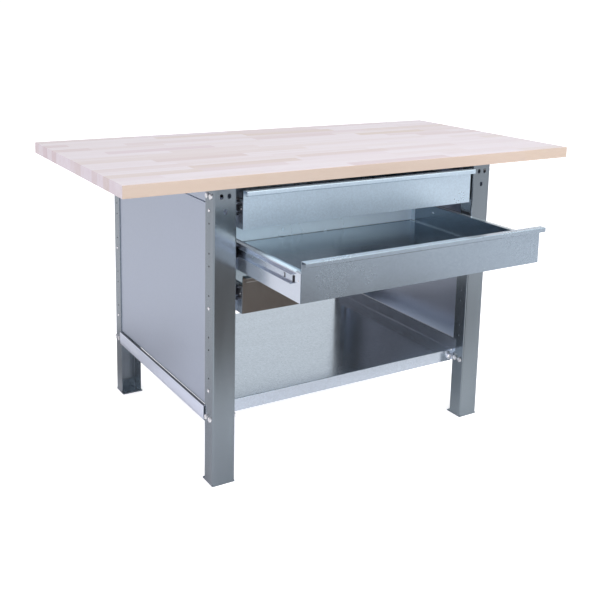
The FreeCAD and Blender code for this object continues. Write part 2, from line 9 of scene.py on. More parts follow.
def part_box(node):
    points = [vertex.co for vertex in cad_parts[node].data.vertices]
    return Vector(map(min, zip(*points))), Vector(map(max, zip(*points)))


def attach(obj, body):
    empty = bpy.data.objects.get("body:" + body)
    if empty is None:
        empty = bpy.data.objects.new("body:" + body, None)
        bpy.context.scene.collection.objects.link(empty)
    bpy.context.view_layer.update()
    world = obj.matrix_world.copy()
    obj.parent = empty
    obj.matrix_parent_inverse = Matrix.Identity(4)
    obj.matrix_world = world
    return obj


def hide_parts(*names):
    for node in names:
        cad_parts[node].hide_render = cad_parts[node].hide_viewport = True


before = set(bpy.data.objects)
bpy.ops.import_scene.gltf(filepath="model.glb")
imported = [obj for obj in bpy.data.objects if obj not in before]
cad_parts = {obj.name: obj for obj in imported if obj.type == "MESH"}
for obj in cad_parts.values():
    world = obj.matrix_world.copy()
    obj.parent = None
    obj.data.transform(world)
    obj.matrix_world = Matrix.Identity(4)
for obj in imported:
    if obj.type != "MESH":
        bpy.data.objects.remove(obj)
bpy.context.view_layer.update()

bl_info = {
    "name": "Workbench with Drawers",
    "version": (1, 0, 0),
    "blender": (4, 5, 0),
    "location": "3D View > Sidebar > Workbench",
    "description": "Dresses a steel workbench: wooden top, galvanised frame, drawers on ball-bearing slides",
    "category": "Add Mesh",
}

SIDES = ("left", "right")
ENDS = ("front", "rear")
DRAWERS = ("top", "middle", "bottom")
RAIL_SHEET = 0.002
THIN_SHEET = 0.0012
# Height of the painted shadow line at the foot of the lower rails and of the drawers' rear walls.
SHADE_LINE_HEIGHT = 0.0015
SENSOR_WIDTH = 36.0


# ---- Sizes and colours ----

def length(name, description, default, low=0.0):
    """A size in metres, shown in the scene's own unit."""
    return FloatProperty(name=name, description=description, default=default, min=low, subtype="DISTANCE",
                         unit="LENGTH", precision=4)


def colour(name, description, default):
    return FloatVectorProperty(name=name, description=description, default=default, size=3,
                               subtype="COLOR", min=0.0, max=1.0)


def zinc(name, surface, default):
    """The colour of a metal surface."""
    return colour(name, f"Reflection of {surface}", default)


def share(name, description, default, high=1.0):
    return FloatProperty(name=name, description=description, default=default, min=0.0, max=high,
                         subtype="FACTOR")


def angle(name, description, degrees):
    return FloatProperty(name=name, description=description, default=math.radians(degrees), subtype="ANGLE")


class WorktopSettings(PropertyGroup):
    """The laminated wooden top."""

    stave_width: length("Stave Width", "Width of one row of staves", 0.044, 0.01)
    stave_length: length("Stave Length", "Mean length of a stave between two butt joints", 0.31, 0.05)
    end_piece: length("End Piece", "A joint nearer the board's end than this is left out", 0.05)
    length_spread: share("Length Spread", "How far a butt joint may lie from its even place", 0.3, 0.5)
    edge_round: length("Edge Round", "Radius of the top's upper edges", 0.0015)
    seed: IntProperty(name="Seed", description="Picks the lengths and tones of the staves", default=7)
    light_wood: colour("Light Wood", "Tone of the palest staves", (0.73, 0.68, 0.715))
    rosy_wood: colour("Rosy Wood", "Tone of the rosiest staves", (0.63, 0.53, 0.565))
    tan_wood: colour("Tan Wood", "Tone of the tannest staves", (0.63, 0.54, 0.49))
    # Painted sheen: the top and the ends keep the staves' rosy tones, the long edges are tinted by this.
    edge_light_tint: colour("Edge Tint", "What the long edges keep of that tone", (0.69, 0.60, 0.475))


class SteelSettings(PropertyGroup):
    """Colours of the steel and plastic parts."""

    leg_colour: zinc("Leg Steel", "legs, feet and rear rail", (0.255, 0.295, 0.325))
    rail_colour: zinc("Rail Steel", "the lower rails and the bearers", (0.82, 0.88, 1.0))
    panel_colour: zinc("Side Panel", "the side sheets and upper rails", (0.45, 0.50, 0.585))
    shelf_colour: zinc("Shelf", "the shelf's tray", (0.61, 0.68, 0.77))
    # The three fronts are one sheet; their different tones are painted light and shade.
    top_front: zinc("Top Front", "the top drawer's front", (0.56, 0.68, 0.78))
    middle_front: zinc("Middle Front", "the middle drawer's front", (0.41, 0.49, 0.565))
    bottom_front: zinc("Bottom Front", "the bottom drawer's front", (0.42, 0.42, 0.41))
    tray_colour: zinc("Drawer Trays", "the drawers' sides", (0.66, 0.72, 0.80))
    # Painted shade: the trays' insides are a darker copy of the trays' sheet.
    inner_shade_colour: zinc("Drawer Insides", "the insides of the drawers' trays", (0.215, 0.27, 0.32))
    # Painted light: the rear walls are a paler copy of the trays' sheet.
    back_colour: zinc("Drawer Backs", "the drawers' rear walls", (0.76, 0.90, 1.0))
    slide_colour: zinc("Outer Slides", "the slides' outer channels", (0.20, 0.21, 0.24))
    runner_colour: zinc("Inner Slides", "the slides' inner channels", (0.56, 0.62, 0.70))
    bolt_colour: zinc("Bolts", "bolts, rivets and screws", (0.86, 0.87, 0.88))
    ball_colour: zinc("Balls", "the slides' balls and cages", (0.80, 0.81, 0.82))
    buffer_colour: colour("Buffers", "Colour of the slides' buffers and catches", (0.022, 0.022, 0.028))
    spangle_size: length("Spangle Size", "Width of one crystal of the zinc coat", 0.004, 0.001)


class BoltSettings(PropertyGroup):
    """The hexagon bolts and nuts that hold the frame together."""

    across_flats: length("Across Flats", "Width of the hexagon", 0.013)
    head_height: length("Head Height", "Height of the head, its washer face included", 0.0053)
    washer_diameter: length("Washer Diameter", "Width of the head's washer face", 0.0128)
    shank_diameter: length("Shank Diameter", "Diameter of the threaded shank", 0.0078)
    thread_pitch: length("Thread Pitch", "Distance between two turns of thread", 0.00125)
    grip: length("Grip", "Thickness of the sheets between head and nut", 0.0045)
    tail: length("Tail", "Length of the shank behind the sheets", 0.0085)
    nut_height: length("Nut Height", "Height of the nut", 0.0062)
    pair_spacing: length("Pair Spacing", "Distance between the two bolts of a pair", 0.022)
    upper_drop: length("Upper Bolts' Drop", "From the top's underside down to the upper bolts", 0.023)
    lower_height: length("Lower Bolts' Height", "Height of the lower bolts above the floor", 0.190)


class FastenerSettings(PropertyGroup):
    """Rivets, small screws and the legs' small holes."""

    rivet_diameter: length("Rivet Diameter", "Width of a panel rivet's head", 0.0094)
    rivet_height: length("Rivet Height", "Height of a panel rivet's head", 0.0021)
    screw_diameter: length("Screw Diameter", "Width of a slide screw's head", 0.0066)
    screw_height: length("Screw Height", "Height of a slide screw's head", 0.0011)
    # The holes' bottoms are dark discs: painted shade in the open holes.
    hole_diameter: length("Hole Diameter", "Width of the shaded bottom of a leg's small hole", 0.0049)
    hole_height: length("Hole Height", "Height of that bottom above the side panel", 0.0008)
    hole_inset: length("Hole Inset", "From a leg's web to its row of holes", 0.026)
    hole_pair: length("Hole Pair", "Distance between the two holes of a pair", 0.0345)
    hole_pitch: length("Hole Pitch", "Distance between two pairs of holes", 0.1143)
    drawer_rivet_diameter: length("Drawer Rivet Diameter", "Width of a drawer rivet's head", 0.0048)
    drawer_rivet_height: length("Drawer Rivet Height", "Height of a drawer rivet's head", 0.0011)
    top_screw_diameter: length("Top Screw Diameter", "Width of a worktop screw's head", 0.011)
    top_screw_height: length("Top Screw Height", "Height of a worktop screw's head", 0.003)


class SlideSettings(PropertyGroup):
    """Ball cages, buffers and catches."""

    ball_diameter: length("Ball Diameter", "Diameter of a slide's balls", 0.0036)
    ball_pitch: length("Ball Pitch", "Distance between two balls in a row", 0.0092)
    strip_thickness: length("Strip Thickness", "Thickness of a cage's strip", 0.0008)
    buffer_height: length("Buffer Height", "Height of an inner channel's front buffer", 0.018)
    buffer_depth: length("Buffer Depth", "How far the buffer stands out sideways", 0.0024)
    catch_place: length("Catch Place", "From an inner channel's front end to its catch", 0.035)
    catch_height: length("Catch Height", "Height of the catch", 0.011)


class StageSettings(PropertyGroup):
    """Floor, lights and camera."""

    camera_place: FloatVectorProperty(name="Camera Place", description="Where the camera stands", size=3,
                                      default=(-1.48132, -2.20784, 1.27305), subtype="XYZ", unit="LENGTH")
    camera_turn: angle("Camera Turn", "Turn of the view from the depth axis to the right", 31.69)
    camera_tilt: angle("Camera Tilt", "Tilt of the view below the horizontal", 10.54)
    camera_roll: angle("Camera Roll", "Turn of the picture about the view", 1.29)
    lens: FloatProperty(name="Lens", description="Focal length in millimetres", default=53.80, min=1.0)
    rise: FloatProperty(name="Rise", description="Vertical shift in picture widths", default=-0.2083)
    floor_colour: colour("Floor", "Colour of the floor", (0.86, 0.86, 0.87))
    floor_glow: share("Floor Glow", "The floor's own light to the camera, which keeps shadows pale", 0.65)
    floor_width: length("Floor Width", "Width of the square floor", 60.0)
    daylight: FloatProperty(name="Daylight", description="Brightness of the room", default=0.80, min=0.0)


# ---- Node trees ----

def by_node(operation):
    """A method of a wire that adds a Math node of that operation."""
    return lambda wire, *others: wire.through(operation, *others)


class Wire:
    """What a node gives: a number, a vector, a colour or a shape. Sums written with it add Math nodes."""

    def __init__(self, socket):
        self.socket = socket
        self.tree = socket.id_data

    def through(self, operation, *others):
        """The result of a Math node, or of a Vector Math node on a vector or colour."""
        wide = self.socket.type in ("VECTOR", "RGBA")
        kind = "ShaderNodeVectorMath" if wide else "ShaderNodeMath"
        values = [(value,) * 3 if wide and isinstance(value, float) else value for value in others]
        return made_by(self.tree, kind, dict(enumerate((self, *values))), operation=operation)

    __add__ = by_node("ADD")
    __sub__ = by_node("SUBTRACT")
    __mul__ = by_node("MULTIPLY")
    __truediv__ = by_node("DIVIDE")
    __lt__ = by_node("LESS_THAN")
    __gt__ = by_node("GREATER_THAN")
    __abs__ = by_node("ABSOLUTE")
    __round__ = by_node("ROUND")
    __floor__ = by_node("FLOOR")
    __ceil__ = by_node("CEIL")

    def __neg__(self):
        return self * -1.0


def feed(made, inputs):
    """Gives a node its inputs, by number or by name. Each is a value, or the wire that feeds it. Three
    numbers do for a colour."""
    for key, value in inputs.items():
        socket = next(socket for number, socket in enumerate(made.inputs)
                      if number == key or socket.enabled and socket.name == key)
        if isinstance(value, Wire):
            value.tree.links.new(value.socket, socket)
        elif socket.type == "RGBA":
            socket.default_value = (*value, 1.0)
        else:
            socket.default_value = value


def add_node(tree, kind, inputs=None, **settings):
    made = tree.nodes.new(kind)
    for name, value in settings.items():
        setattr(made, name, value)
    feed(made, inputs or {})
    return made


def made_by(tree, kind, inputs=None, gives=None, **settings):
    """What a new node gives: the output of that name, or else the first in use."""
    outputs = add_node(tree, kind, inputs, **settings).outputs
    return Wire(next(socket for socket in outputs if socket.enabled and gives in (None, socket.name)))


def combine(tree, x, y, z):
    return made_by(tree, "ShaderNodeCombineXYZ", {0: x, 1: y, 2: z})


def separate(vector):
    return [Wire(socket) for socket in add_node(vector.tree, "ShaderNodeSeparateXYZ", {0: vector}).outputs]


def scaled(tree, vector, factor):
    """A vector or colour times a number."""
    return made_by(tree, "ShaderNodeVectorMath", {0: vector, "Scale": factor}, operation="SCALE")


def blended(factor, first, second, kind="RGBA"):
    """A colour or a number between two."""
    inputs = {"Factor": factor, "A": first, "B": second}
    return made_by(factor.tree, "ShaderNodeMix", inputs, data_type=kind)


def fit_range(value, low, high, from_low=0.0, from_high=1.0):
    """Stretches a value from one range to another."""
    return made_by(value.tree, "ShaderNodeMapRange", {0: value, 1: from_low, 2: from_high, 3: low, 4: high})


def smooth_step(value, start, end):
    """0 before start, 1 after end, and smooth between them."""
    inputs = {0: value, 1: start, 2: end}
    return made_by(value.tree, "ShaderNodeMapRange", inputs, interpolation_type="SMOOTHSTEP")


def random_value(low, high, identity, seed):
    """A random number for each identity."""
    inputs = {"Min": low, "Max": high, "ID": identity, "Seed": seed}
    return made_by(seed.tree, "FunctionNodeRandomValue", inputs, data_type="FLOAT")


def named(tree, name):
    """The vector that is kept under a name."""
    return made_by(tree, "GeometryNodeInputNamedAttribute", {"Name": name}, data_type="FLOAT_VECTOR")


def worked(geometry, kind, **inputs):
    """What a node of that kind makes of the geometry."""
    return made_by(geometry.tree, kind, {"Geometry": geometry, **inputs})


def store(geometry, name, value, kind="FLOAT_VECTOR"):
    """Keeps a value on every point under a name."""
    inputs = {"Geometry": geometry, "Name": name, "Value": value}
    return made_by(geometry.tree, "GeometryNodeStoreNamedAttribute", inputs, data_type=kind)


def joined(*geometries):
    made = add_node(geometries[0].tree, "GeometryNodeJoinGeometry")
    for geometry in geometries:
        feed(made, {0: geometry})
    return Wire(made.outputs[0])


def moved(geometry, x, y, z):
    return worked(geometry, "GeometryNodeTransform", Translation=combine(geometry.tree, x, y, z))


def reshaped(geometry, place):
    """The geometry with its points at new places."""
    return worked(geometry, "GeometryNodeSetPosition", Position=place)


def spread(points, instance, **inputs):
    """A copy of the instance on every point."""
    inputs = {"Points": points, "Instance": instance, **inputs}
    return made_by(points.tree, "GeometryNodeInstanceOnPoints", inputs)


INPUT_KINDS = {"geometry": "Geometry", "low_corner": "Vector", "high_corner": "Vector", "seed": "Int",
               "material": "Material"}


def shape_tree(name, *sizes):
    """A new geometry tree with a named input for each size."""
    tree = bpy.data.node_groups.new(name, "GeometryNodeTree")
    tree.is_modifier = True
    for size in ("geometry", *sizes, "material"):
        title = size.replace("_", " ").title()
        kind = f"NodeSocket{INPUT_KINDS.get(size, 'Float')}"
        tree.interface.new_socket(title, in_out="INPUT", socket_type=kind)
    tree.interface.new_socket("Geometry", in_out="OUTPUT", socket_type="NodeSocketGeometry")
    outputs = tree.nodes.new("NodeGroupInput").outputs
    return tree, {socket.name: Wire(socket) for socket in outputs if socket.name}


def close_tree(inputs, geometry):
    """Ends a geometry tree: its instances are made real and get their material."""
    real = worked(geometry, "GeometryNodeRealizeInstances")
    painted = worked(real, "GeometryNodeSetMaterial", Material=inputs["Material"])
    add_node(geometry.tree, "NodeGroupOutput", {0: painted})
    return geometry.tree


def add_object(name, data):
    """A new object in the scene."""
    made = bpy.data.objects.new(name, data)
    bpy.context.scene.collection.objects.link(made)
    return made


def grow(name, tree, material, settings, seats=(), **values):
    """Runs a geometry tree on a set of seats and gives the plain mesh object that comes out.

    Each seat is a point and the axis that its copy stands along. The tree's inputs are the values given,
    and else the settings of the same name."""
    points = bpy.data.meshes.new(f"{name}_seats")
    points.from_pydata([point for point, axis in seats], [], [])
    if seats:
        attribute = points.attributes.new("axis", "FLOAT_VECTOR", "POINT")
        for item, (point, axis) in zip(attribute.data, seats):
            item.vector = axis
    source = add_object(f"{name}_source", points)
    modifier = source.modifiers.new("Shape", "NODES")
    modifier.node_group = tree
    values["material"] = material
    for item in tree.interface.items_tree:
        key = item.name.replace(" ", "_").lower()
        if key != "geometry":
            modifier[item.identifier] = values[key] if key in values else getattr(settings, key)
    graph = bpy.context.evaluated_depsgraph_get()
    mesh = bpy.data.meshes.new_from_object(source.evaluated_get(graph), depsgraph=graph)
    mesh.name = name
    source.modifiers.remove(modifier)
    bpy.data.objects.remove(source)
    bpy.data.meshes.remove(points)
    if not mesh.polygons:
        raise RuntimeError(f"{name} came out empty")
    return add_object(name, mesh)


def settle(piece, body, slot, *nodes):
    """Makes a finished piece ride on its body, and stand for the CAD nodes given."""
    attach(piece, body)
    if nodes:
        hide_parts(*nodes)


# ---- Materials ----

def new_material(name):
    """A node material, its tree and its shader node."""
    material = bpy.data.materials.new(name)
    material.use_nodes = True
    tree = material.node_tree
    shader = next(item for item in tree.nodes if item.type == "BSDF_PRINCIPLED")
    return material, tree, shader


def coordinate(tree, name):
    return made_by(tree, "ShaderNodeTexCoord", gives=name)


def stretched(place, scale):
    return made_by(place.tree, "ShaderNodeMapping", {"Vector": place, "Scale": scale})


def object_place(tree, scale=(1.0, 1.0, 1.0)):
    """The place on the object, stretched by the scale."""
    return stretched(coordinate(tree, "Object"), scale)


def noise(place, scale, detail, roughness=0.5, gives=None):
    inputs = {"Vector": place, "Scale": scale, "Detail": detail, "Roughness": roughness}
    return made_by(place.tree, "ShaderNodeTexNoise", inputs, gives)


def bumped(height, strength, distance):
    """Normals that lean as a surface of that height would."""
    inputs = {"Height": height, "Strength": strength, "Distance": distance}
    return made_by(height.tree, "ShaderNodeBump", inputs)


MIDDLE_OF_NOISE = (0.3, 0.7)
FINE_GRAIN = 40
WALL_RIM = 0.0115
# Tone and softness of the painted shadow line at a sheet's foot.
SHADE_LINE_TONE = 0.25
SHADE_LINE_EDGE = 0.002
BENT_CRYSTALS = 0.9
BEND_SCALE = 60.0
WAVE_SCALE = 7.0
LOOKS_UP = (0.2, 0.8)


def steel(name, base, rough, drawn, mottle, wave=0.0006, spangle=0.0, matt=0.0, fleck=0.03, upper=0.0,
          inner_shade=None, shade_line=None):
    """Zinc-coated sheet. Its reflection is uneven along the rolling direction, and spangled if asked. If
    asked, the faces that look up get a painted highlight or painted shade. An inner shade (middle, half
    width, colour) is painted shade on the part between two sides, under their rims. A shade line is the
    height below which a painted shadow line darkens the sheet."""
    material, tree, shader = new_material(name)
    place = object_place(tree)
    cloud = noise(object_place(tree, drawn), 1.0, 4.0, 0.55)
    fine = noise(object_place(tree, [part * FINE_GRAIN for part in drawn]), 1.0, 2.0)
    tone = fit_range(cloud, 1.0 - mottle, 1.0 + mottle, *MIDDLE_OF_NOISE) * fit_range(fine, 0.97, 1.03)
    gloss = fit_range(cloud, *rough, *MIDDLE_OF_NOISE)
    if spangle:
        bend = scaled(tree, noise(place, BEND_SCALE, 2.0, gives="Color"), spangle * BENT_CRYSTALS)
        crystal = separate(made_by(tree, "ShaderNodeTexVoronoi",
                                   {"Vector": place + bend, "Scale": 1.0 / spangle}, "Color"))
        tone = tone * fit_range(crystal[0], 1.0 - fleck, 1.0 + fleck)
        gloss = gloss + fit_range(crystal[1], -0.015, 0.015)
    upward = smooth_step(separate(coordinate(tree, "Normal"))[2], *LOOKS_UP)
    # Painted highlight, or painted shade when upper is below zero, on the faces that look up.
    if upper:
        tone = tone * fit_range(upward, 1.0, 1.0 + upper)
    across, _, up = separate(place)
    # Painted shadow line: the sheet darkens below the given height.
    if shade_line:
        tone = tone * fit_range(smooth_step(up, shade_line, shade_line + SHADE_LINE_EDGE), SHADE_LINE_TONE, 1.0)
    shade = scaled(tree, base, tone)
    # Painted shade on the inner faces between two sides, apart from their rims.
    if inner_shade:
        middle, half, inner = inner_shade
        away = abs(across - middle) + upward * WALL_RIM
        shade = blended(away < half, shade, scaled(tree, inner, tone))
    feed(shader, {"Metallic": 1.0 - matt, "Base Color": shade, "Roughness": gloss,
                  "Normal": bumped(noise(place, WAVE_SCALE, 1.0) * wave, 1.0, 1.0)})
    return material


GRAIN_SHIFT = (31.0, 17.0)
TONE_CURVE = 2.2
HUE_TURNS = 7.3


def laminated_wood(name, settings):
    """Beech staves: each has its own tone and its own stretch of grain. The long edges are tinted warmer and
    darker than the top and the ends, which carry a painted rosy sheen.
    """
    material, tree, shader = new_material(name)
    stave = made_by(tree, "ShaderNodeAttribute", gives="Fac", attribute_name="stave")
    shifted = coordinate(tree, "Object") + combine(tree, *(stave * shift for shift in GRAIN_SHIFT), 0.0)
    figure = noise(stretched(shifted, (1.6, 38.0, 38.0)), 1.0, 5.0, 0.6)
    pores = noise(stretched(shifted, (45.0, 900.0, 900.0)), 1.0, 2.0)
    long_edge = abs(separate(coordinate(tree, "Normal"))[1])
    own = stave.through("POWER", TONE_CURVE) * fit_range(long_edge, 0.95, 0.1)
    tone = own + fit_range(figure, -0.14, 0.36, 0.25, 0.75) + fit_range(pores, -0.10, 0.10, *MIDDLE_OF_NOISE)
    dark = blended((stave * HUE_TURNS).through("FRACT"), settings.tan_wood, settings.rosy_wood)
    # Painted sheen: the long edges lose the rosy sheen of the top and the ends.
    tint = blended(long_edge, (1.0, 1.0, 1.0), settings.edge_light_tint)
    feed(shader, {"Base Color": blended(tone, settings.light_wood, dark) * tint,
                  "Roughness": fit_range(figure, 0.34, 0.46), "Normal": bumped(pores, 0.15, 0.0002)})
    return material


def dark_plastic(name, tone):
    """Dark moulded plastic with a fine grain."""
    material, tree, shader = new_material(name)
    grain = noise(object_place(tree), 900.0, 2.0)
    feed(shader, {"Base Color": scaled(tree, tone, fit_range(grain, 0.8, 1.2)),
                  "Roughness": fit_range(grain, 0.5, 0.65), "Specular IOR Level": 0.2})
    return material


def coat(material, *nodes):
    """Gives CAD nodes a material."""
    for node in nodes:
        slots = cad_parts[node].material_slots
        if not slots:
            raise RuntimeError(f"{node} has no material slot")
        for item in slots:
            item.link = "OBJECT"
            item.material = material


# ---- Worktop ----

SMALLEST_STAVE = 0.001
BOARD_EDGE = 0.0005
# These keep the random draws of rows, joints and tones apart.
ROW_STEP = 100.0
FIRST_JOINT = 5000.0
FIRST_TONE = 9000.0


def stave_tree():
    """A board of staves: rows of equal width, butt joints at random places, edges rounded at the top."""
    tree, inputs = shape_tree("Stave Board", "low_corner", "high_corner", "stave_width", "stave_length",
                              "length_spread", "end_piece", "edge_round", "seed")
    corners = inputs["Low Corner"], inputs["High Corner"]
    low, high, size = map(separate, (*corners, corners[1] - corners[0]))
    stave_length, shortest, seed = inputs["Stave Length"], inputs["End Piece"], inputs["Seed"]
    rows = round(size[1] / inputs["Stave Width"])
    width = size[1] / rows
    per_row = math.ceil(size[0] / stave_length) + 2.0
    points = made_by(tree, "GeometryNodePoints", {"Count": rows * per_row})
    index = made_by(tree, "GeometryNodeInputIndex")
    row = math.floor((index + 0.5) / per_row)
    place = index - row * per_row
    row_shift = random_value(0.0, 0.9, row, seed)

    def joint(step):
        """Where a row's butt joint of that number lies along the board."""
        number = place + step
        stray = random_value(-1.0, 0.0, row * ROW_STEP + number + FIRST_JOINT, seed) * inputs["Length Spread"]
        x = low[0] + (number - row_shift + stray) * stave_length
        near_low = x < low[0] + shortest
        near_high = x > high[0] - shortest
        return blended(near_high, blended(near_low, x, low[0], "FLOAT"), high[0], "FLOAT")

    start, end = joint(0.0), joint(1.0)
    centre = combine(tree, (start + end) * 0.5, low[1] + (row + 0.5) * width, (low[2] + high[2]) * 0.5)
    marked = store(reshaped(points, centre), "centre", centre)
    marked = store(marked, "block", combine(tree, end - start, width, size[2]))
    marked = store(marked, "stave", random_value(0.0, 1.0, index + FIRST_TONE, seed), "FLOAT")
    centre, block = named(tree, "centre"), named(tree, "block")
    empty = made_by(tree, "FunctionNodeCompare", {0: separate(block)[0], 1: SMALLEST_STAVE},
                    data_type="FLOAT", operation="LESS_THAN")
    kept = worked(marked, "GeometryNodeDeleteGeometry", Selection=empty)
    points_each_way = {f"Vertices {axis}": 4 for axis in "XYZ"}
    cube = made_by(tree, "GeometryNodeMeshCube", {"Size": (1.0,) * 3, **points_each_way})
    staves = worked(spread(kept, cube, Scale=block), "GeometryNodeRealizeInstances")

    # Each cube has four points along an edge. The outer ones go to the stave's outside and the inner
    # ones to where the rounding starts. Only the board's own upper edges and ends are rounded.
    offset = made_by(tree, "GeometryNodeInputPosition") - centre
    sign = offset.through("SIGN")
    outermost = math.floor(abs(offset) / block + 0.6)
    half = block * 0.5
    at_high, at_low, facing = separate(centre + half), separate(centre - half), separate(sign)
    free = [blended(facing[axis] > 0.0, at_low[axis] < low[axis] + BOARD_EDGE,
                    at_high[axis] > high[axis] - BOARD_EDGE, "FLOAT") for axis in range(2)]
    free = combine(tree, *free, facing[2] > 0.0) * outermost
    way = free.through("NORMALIZE") + (outermost - free)
    radius = combine(tree, *[inputs["Edge Round"]] * 3)
    shell = half - radius + way * radius
    return close_tree(inputs, reshaped(staves, centre + sign * shell))


class BENCH_OT_worktop(Operator):
    """Lays the worktop of staves on the frame"""

    bl_idname = "bench.worktop"
    bl_label = "Worktop"

    def execute(self, context):
        settings = context.scene.bench_worktop
        low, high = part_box("worktop")
        board = grow("worktop_staves", stave_tree(), laminated_wood("laminated_beech", settings), settings,
                     low_corner=low, high_corner=high)
        settle(board, "frame", "wooden_top", "worktop")
        return {"FINISHED"}


# ---- Leg frame, panels and shelf ----

class BENCH_OT_frame_steel(Operator):
    """Finishes the legs, feet, rails and bearers"""

    bl_idname = "bench.frame_steel"
    bl_label = "Legs and Rails"

    def execute(self, context):
        settings = context.scene.bench_steel
        upright = steel("leg_zinc", settings.leg_colour, (0.16, 0.24), (14.0, 14.0, 1.6), 0.07, 0.0004,
                        matt=0.10)
        coat(upright, *[f"{node}_{end}_{side}" for node in ("leg", "foot") for end in ENDS for side in SIDES],
             "rear_rail")
        # Painted shade on the rails' faces that look up, and a painted shadow line along their foot.
        lengthwise = steel("rail_zinc", settings.rail_colour, (0.28, 0.40), (9.0, 2.0, 9.0), 0.08,
                           upper=-0.65, shade_line=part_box("lower_rail_left")[0].z + SHADE_LINE_HEIGHT)
        coat(lengthwise, *[f"{node}_{side}" for node in ("lower_rail", "shelf_bearer", "slide_bearers")
                           for side in SIDES], "shelf_cleats")
        return {"FINISHED"}


class BENCH_OT_sheets(Operator):
    """Finishes the side panels and the shelf"""

    bl_idname = "bench.sheets"
    bl_label = "Panels and Shelf"

    def execute(self, context):
        settings = context.scene.bench_steel
        panel = steel("panel_zinc", settings.panel_colour, (0.34, 0.42), (3.0,) * 3, 0.03, 0.0003)
        coat(panel, "side_panel_left", "side_panel_right", "upper_rail_left", "upper_rail_right")
        shelf = steel("shelf_zinc", settings.shelf_colour, (0.13, 0.19), (2.5, 9.0, 9.0), 0.03, 0.0003,
                      settings.spangle_size, matt=0.12, fleck=0.07)
        coat(shelf, "shelf")
        return {"FINISHED"}


# ---- Bolts, rivets and screws ----

def cone(tree, sides, top, bottom, depth):
    """A cone's stump that stands on the origin."""
    inputs = {"Vertices": sides, "Radius Top": top, "Radius Bottom": bottom, "Depth": depth}
    return made_by(tree, "GeometryNodeMeshCone", inputs)


def cuboid(tree, *size):
    return made_by(tree, "GeometryNodeMeshCube", {"Size": combine(tree, *size)})


def line_of(tree, count, start, step):
    """Points in a row, a step apart."""
    inputs = {"Count": count, "Start Location": combine(tree, *start), "Offset": combine(tree, *step)}
    return made_by(tree, "GeometryNodeMeshLine", inputs)


CHAMFER = 0.16
CROWN_WIDTH = 0.84
WASHER_FACE = 0.13
THREAD_DEPTH = 0.55


def hexagon(across_flats, height, start):
    """A chamfered hexagon that stands on the height given by start."""
    radius = across_flats / math.sqrt(3.0)
    chamfer = height * CHAMFER
    body_height = height - chamfer
    body = cone(height.tree, 6, radius, radius, body_height)
    crown = cone(height.tree, 6, radius * CROWN_WIDTH, radius, chamfer)
    return joined(moved(body, 0.0, 0.0, start), moved(crown, 0.0, 0.0, start + body_height))


def standing(tree):
    """The turn that stands a copy along its point's axis."""
    return made_by(tree, "FunctionNodeAlignRotationToVector", {"Vector": named(tree, "axis")}, axis="Z")


def bolt_tree():
    """A hexagon bolt with washer face, threaded shank and nut, on every point along its axis."""
    tree, inputs = shape_tree("Bolts", "across_flats", "head_height", "washer_diameter", "shank_diameter",
                              "thread_pitch", "grip", "tail", "nut_height")
    half_washer = inputs["Washer Diameter"] * 0.5
    washer_height = inputs["Head Height"] * WASHER_FACE
    washer = cone(tree, 20, half_washer, half_washer, washer_height)
    head = hexagon(inputs["Across Flats"], inputs["Head Height"] - washer_height, washer_height)
    start = -(inputs["Grip"] + inputs["Tail"])
    radius = inputs["Shank Diameter"] * 0.5
    root = radius - inputs["Thread Pitch"] * THREAD_DEPTH
    turns = round(-start / inputs["Thread Pitch"])
    pitch = -start / turns
    half_pitch = pitch * 0.5
    rising = cone(tree, 12, radius, root, half_pitch)
    falling = cone(tree, 12, root, radius, half_pitch)
    turn = joined(rising, moved(falling, 0.0, 0.0, half_pitch))
    starts = line_of(tree, turns, (0.0, 0.0, start), (0.0, 0.0, pitch))
    thread = worked(spread(starts, turn), "GeometryNodeRealizeInstances")
    nut = hexagon(inputs["Across Flats"], inputs["Nut Height"], -inputs["Grip"] - inputs["Nut Height"])
    whole = joined(washer, head, thread, nut)
    return close_tree(inputs, spread(inputs["Geometry"], whole, Rotation=standing(tree)))


def outward(side):
    """The way from the bench's middle to that side."""
    return Vector((-1.0 if side == "left" else 1.0, 0.0, 0.0))


def side_face(node, side, inner=False):
    """The x of a node's outer face, or of its inner one."""
    low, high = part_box(node)
    return low.x if (side == "left") != inner else high.x


APRON_BOLT_INSET = 0.012


def bolt_seats(settings):
    """Where each bolt's head sits, and the way the head faces."""
    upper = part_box("worktop")[0].z - settings.upper_drop
    lower = settings.lower_height
    seats = []
    for end in ENDS:
        for side in SIDES:
            leg = f"leg_{end}_{side}"
            way = outward(side)
            low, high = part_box(leg)
            middle = (low.y + high.y) / 2
            outer_face, inner_face = side_face(leg, side), side_face(leg, side, True)
            rows = [(outer_face, way, upper), (outer_face, way, lower), (inner_face, -way, lower)]
            if end == "rear":
                rows.append((inner_face - way.x * RAIL_SHEET, -way, upper))
            seats += [((x, middle + step * settings.pair_spacing, z), facing)
                      for x, facing, z in rows for step in (-0.5, 0.5)]
    low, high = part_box("shelf_cleats")
    for x in (low.x + APRON_BOLT_INSET, high.x - APRON_BOLT_INSET):
        seats.append(((x, low.y - THIN_SHEET, lower), (0.0, -1.0, 0.0)))
        seats.append(((x, high.y + THIN_SHEET, lower), (0.0, 1.0, 0.0)))
    return seats


class BENCH_OT_bolts(Operator):
    """Sets the hexagon bolts and their nuts"""

    bl_idname = "bench.bolts"
    bl_label = "Bolts"

    def execute(self, context):
        settings = context.scene.bench_bolts
        tone = context.scene.bench_steel.bolt_colour
        bright = steel("bolt_zinc", tone, (0.20, 0.32), (90.0,) * 3, 0.08, 0.0, matt=0.3)
        bolts = grow("hexagon_bolts", bolt_tree(), bright, settings, bolt_seats(settings))
        settle(bolts, "frame", "bolt_steel", "frame_bolts")
        return {"FINISHED"}


